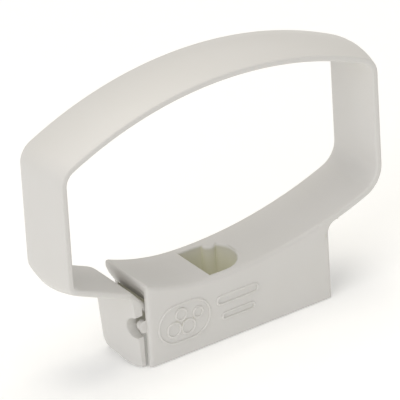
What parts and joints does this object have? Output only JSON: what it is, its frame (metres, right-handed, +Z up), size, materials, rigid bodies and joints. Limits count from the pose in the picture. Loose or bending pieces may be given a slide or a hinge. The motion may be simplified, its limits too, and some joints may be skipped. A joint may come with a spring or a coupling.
{
  "type": "cable collecting clamp",
  "caption": "One-piece plastic cable collecting clamp: a screw-down saddle base with a springy strap loop that latches under a lip.",
  "frame": {"origin": "bottom centre of the closed part's box, on the mounting plane, under the middle of the loop", "axes": "+X along the base from the latch to the strap's root, +Y to the back (across the strap), +Z up, away from the mounting surface"},
  "size_m": [0.1018, 0.02, 0.0785],
  "materials": {
    "natural_pp": "satin moulded natural polypropylene"
  },
  "bodies": {
    "base": {"base_saddle": "natural_pp", "screw_seat": "natural_pp", "catch_peg": "natural_pp"},
    "root_arc": {"strap_root_arc": "natural_pp"},
    "right_side": {"strap_right_side": "natural_pp"},
    "arch_right": {"strap_arch_right": "natural_pp"},
    "arch_left": {"strap_arch_left": "natural_pp"},
    "left_side": {"strap_left_side": "natural_pp"},
    "latch": {"strap_latch_arm": "natural_pp", "latch_tab": "natural_pp"}
  },
  "joints": [
    {"name": "root_flex", "type": "hinge", "parent": "base", "child": "root_arc", "pos_m": [0.03707, 0, 0.02347], "axis": [0, 1, 0], "range_deg": [0, 6], "stiffness_Nm_per_rad": 0.35},
    {"name": "root_corner_flex", "type": "hinge", "parent": "root_arc", "child": "right_side", "pos_m": [0.04936, 0, 0.02965], "axis": [0, 1, 0], "range_deg": [0, 8], "stiffness_Nm_per_rad": 0.35},
    {"name": "upper_right_flex", "type": "hinge", "parent": "right_side", "child": "arch_right", "pos_m": [0.04997, 0, 0.06544], "axis": [0, 1, 0], "range_deg": [0, 14], "stiffness_Nm_per_rad": 0.35},
    {"name": "arch_flex", "type": "hinge", "parent": "arch_right", "child": "arch_left", "pos_m": [0, 0, 0.07852], "axis": [0, 1, 0], "range_deg": [0, 20], "stiffness_Nm_per_rad": 0.35},
    {"name": "upper_left_flex", "type": "hinge", "parent": "arch_left", "child": "left_side", "pos_m": [-0.04997, 0, 0.06544], "axis": [0, 1, 0], "range_deg": [0, 16], "stiffness_Nm_per_rad": 0.35},
    {"name": "latch_corner_flex", "type": "hinge", "parent": "left_side", "child": "latch", "pos_m": [-0.05032, 0, 0.02912], "axis": [0, 1, 0], "range_deg": [0, 8], "stiffness_Nm_per_rad": 0.35}
  ],
  "couplings": [
    {"joint": "root_flex", "follows": "arch_flex", "ratio": 0.3},
    {"joint": "root_corner_flex", "follows": "arch_flex", "ratio": 0.4},
    {"joint": "upper_right_flex", "follows": "arch_flex", "ratio": 0.7},
    {"joint": "upper_left_flex", "follows": "arch_flex", "ratio": 0.8},
    {"joint": "latch_corner_flex", "follows": "arch_flex", "ratio": 0.4}
  ]
}
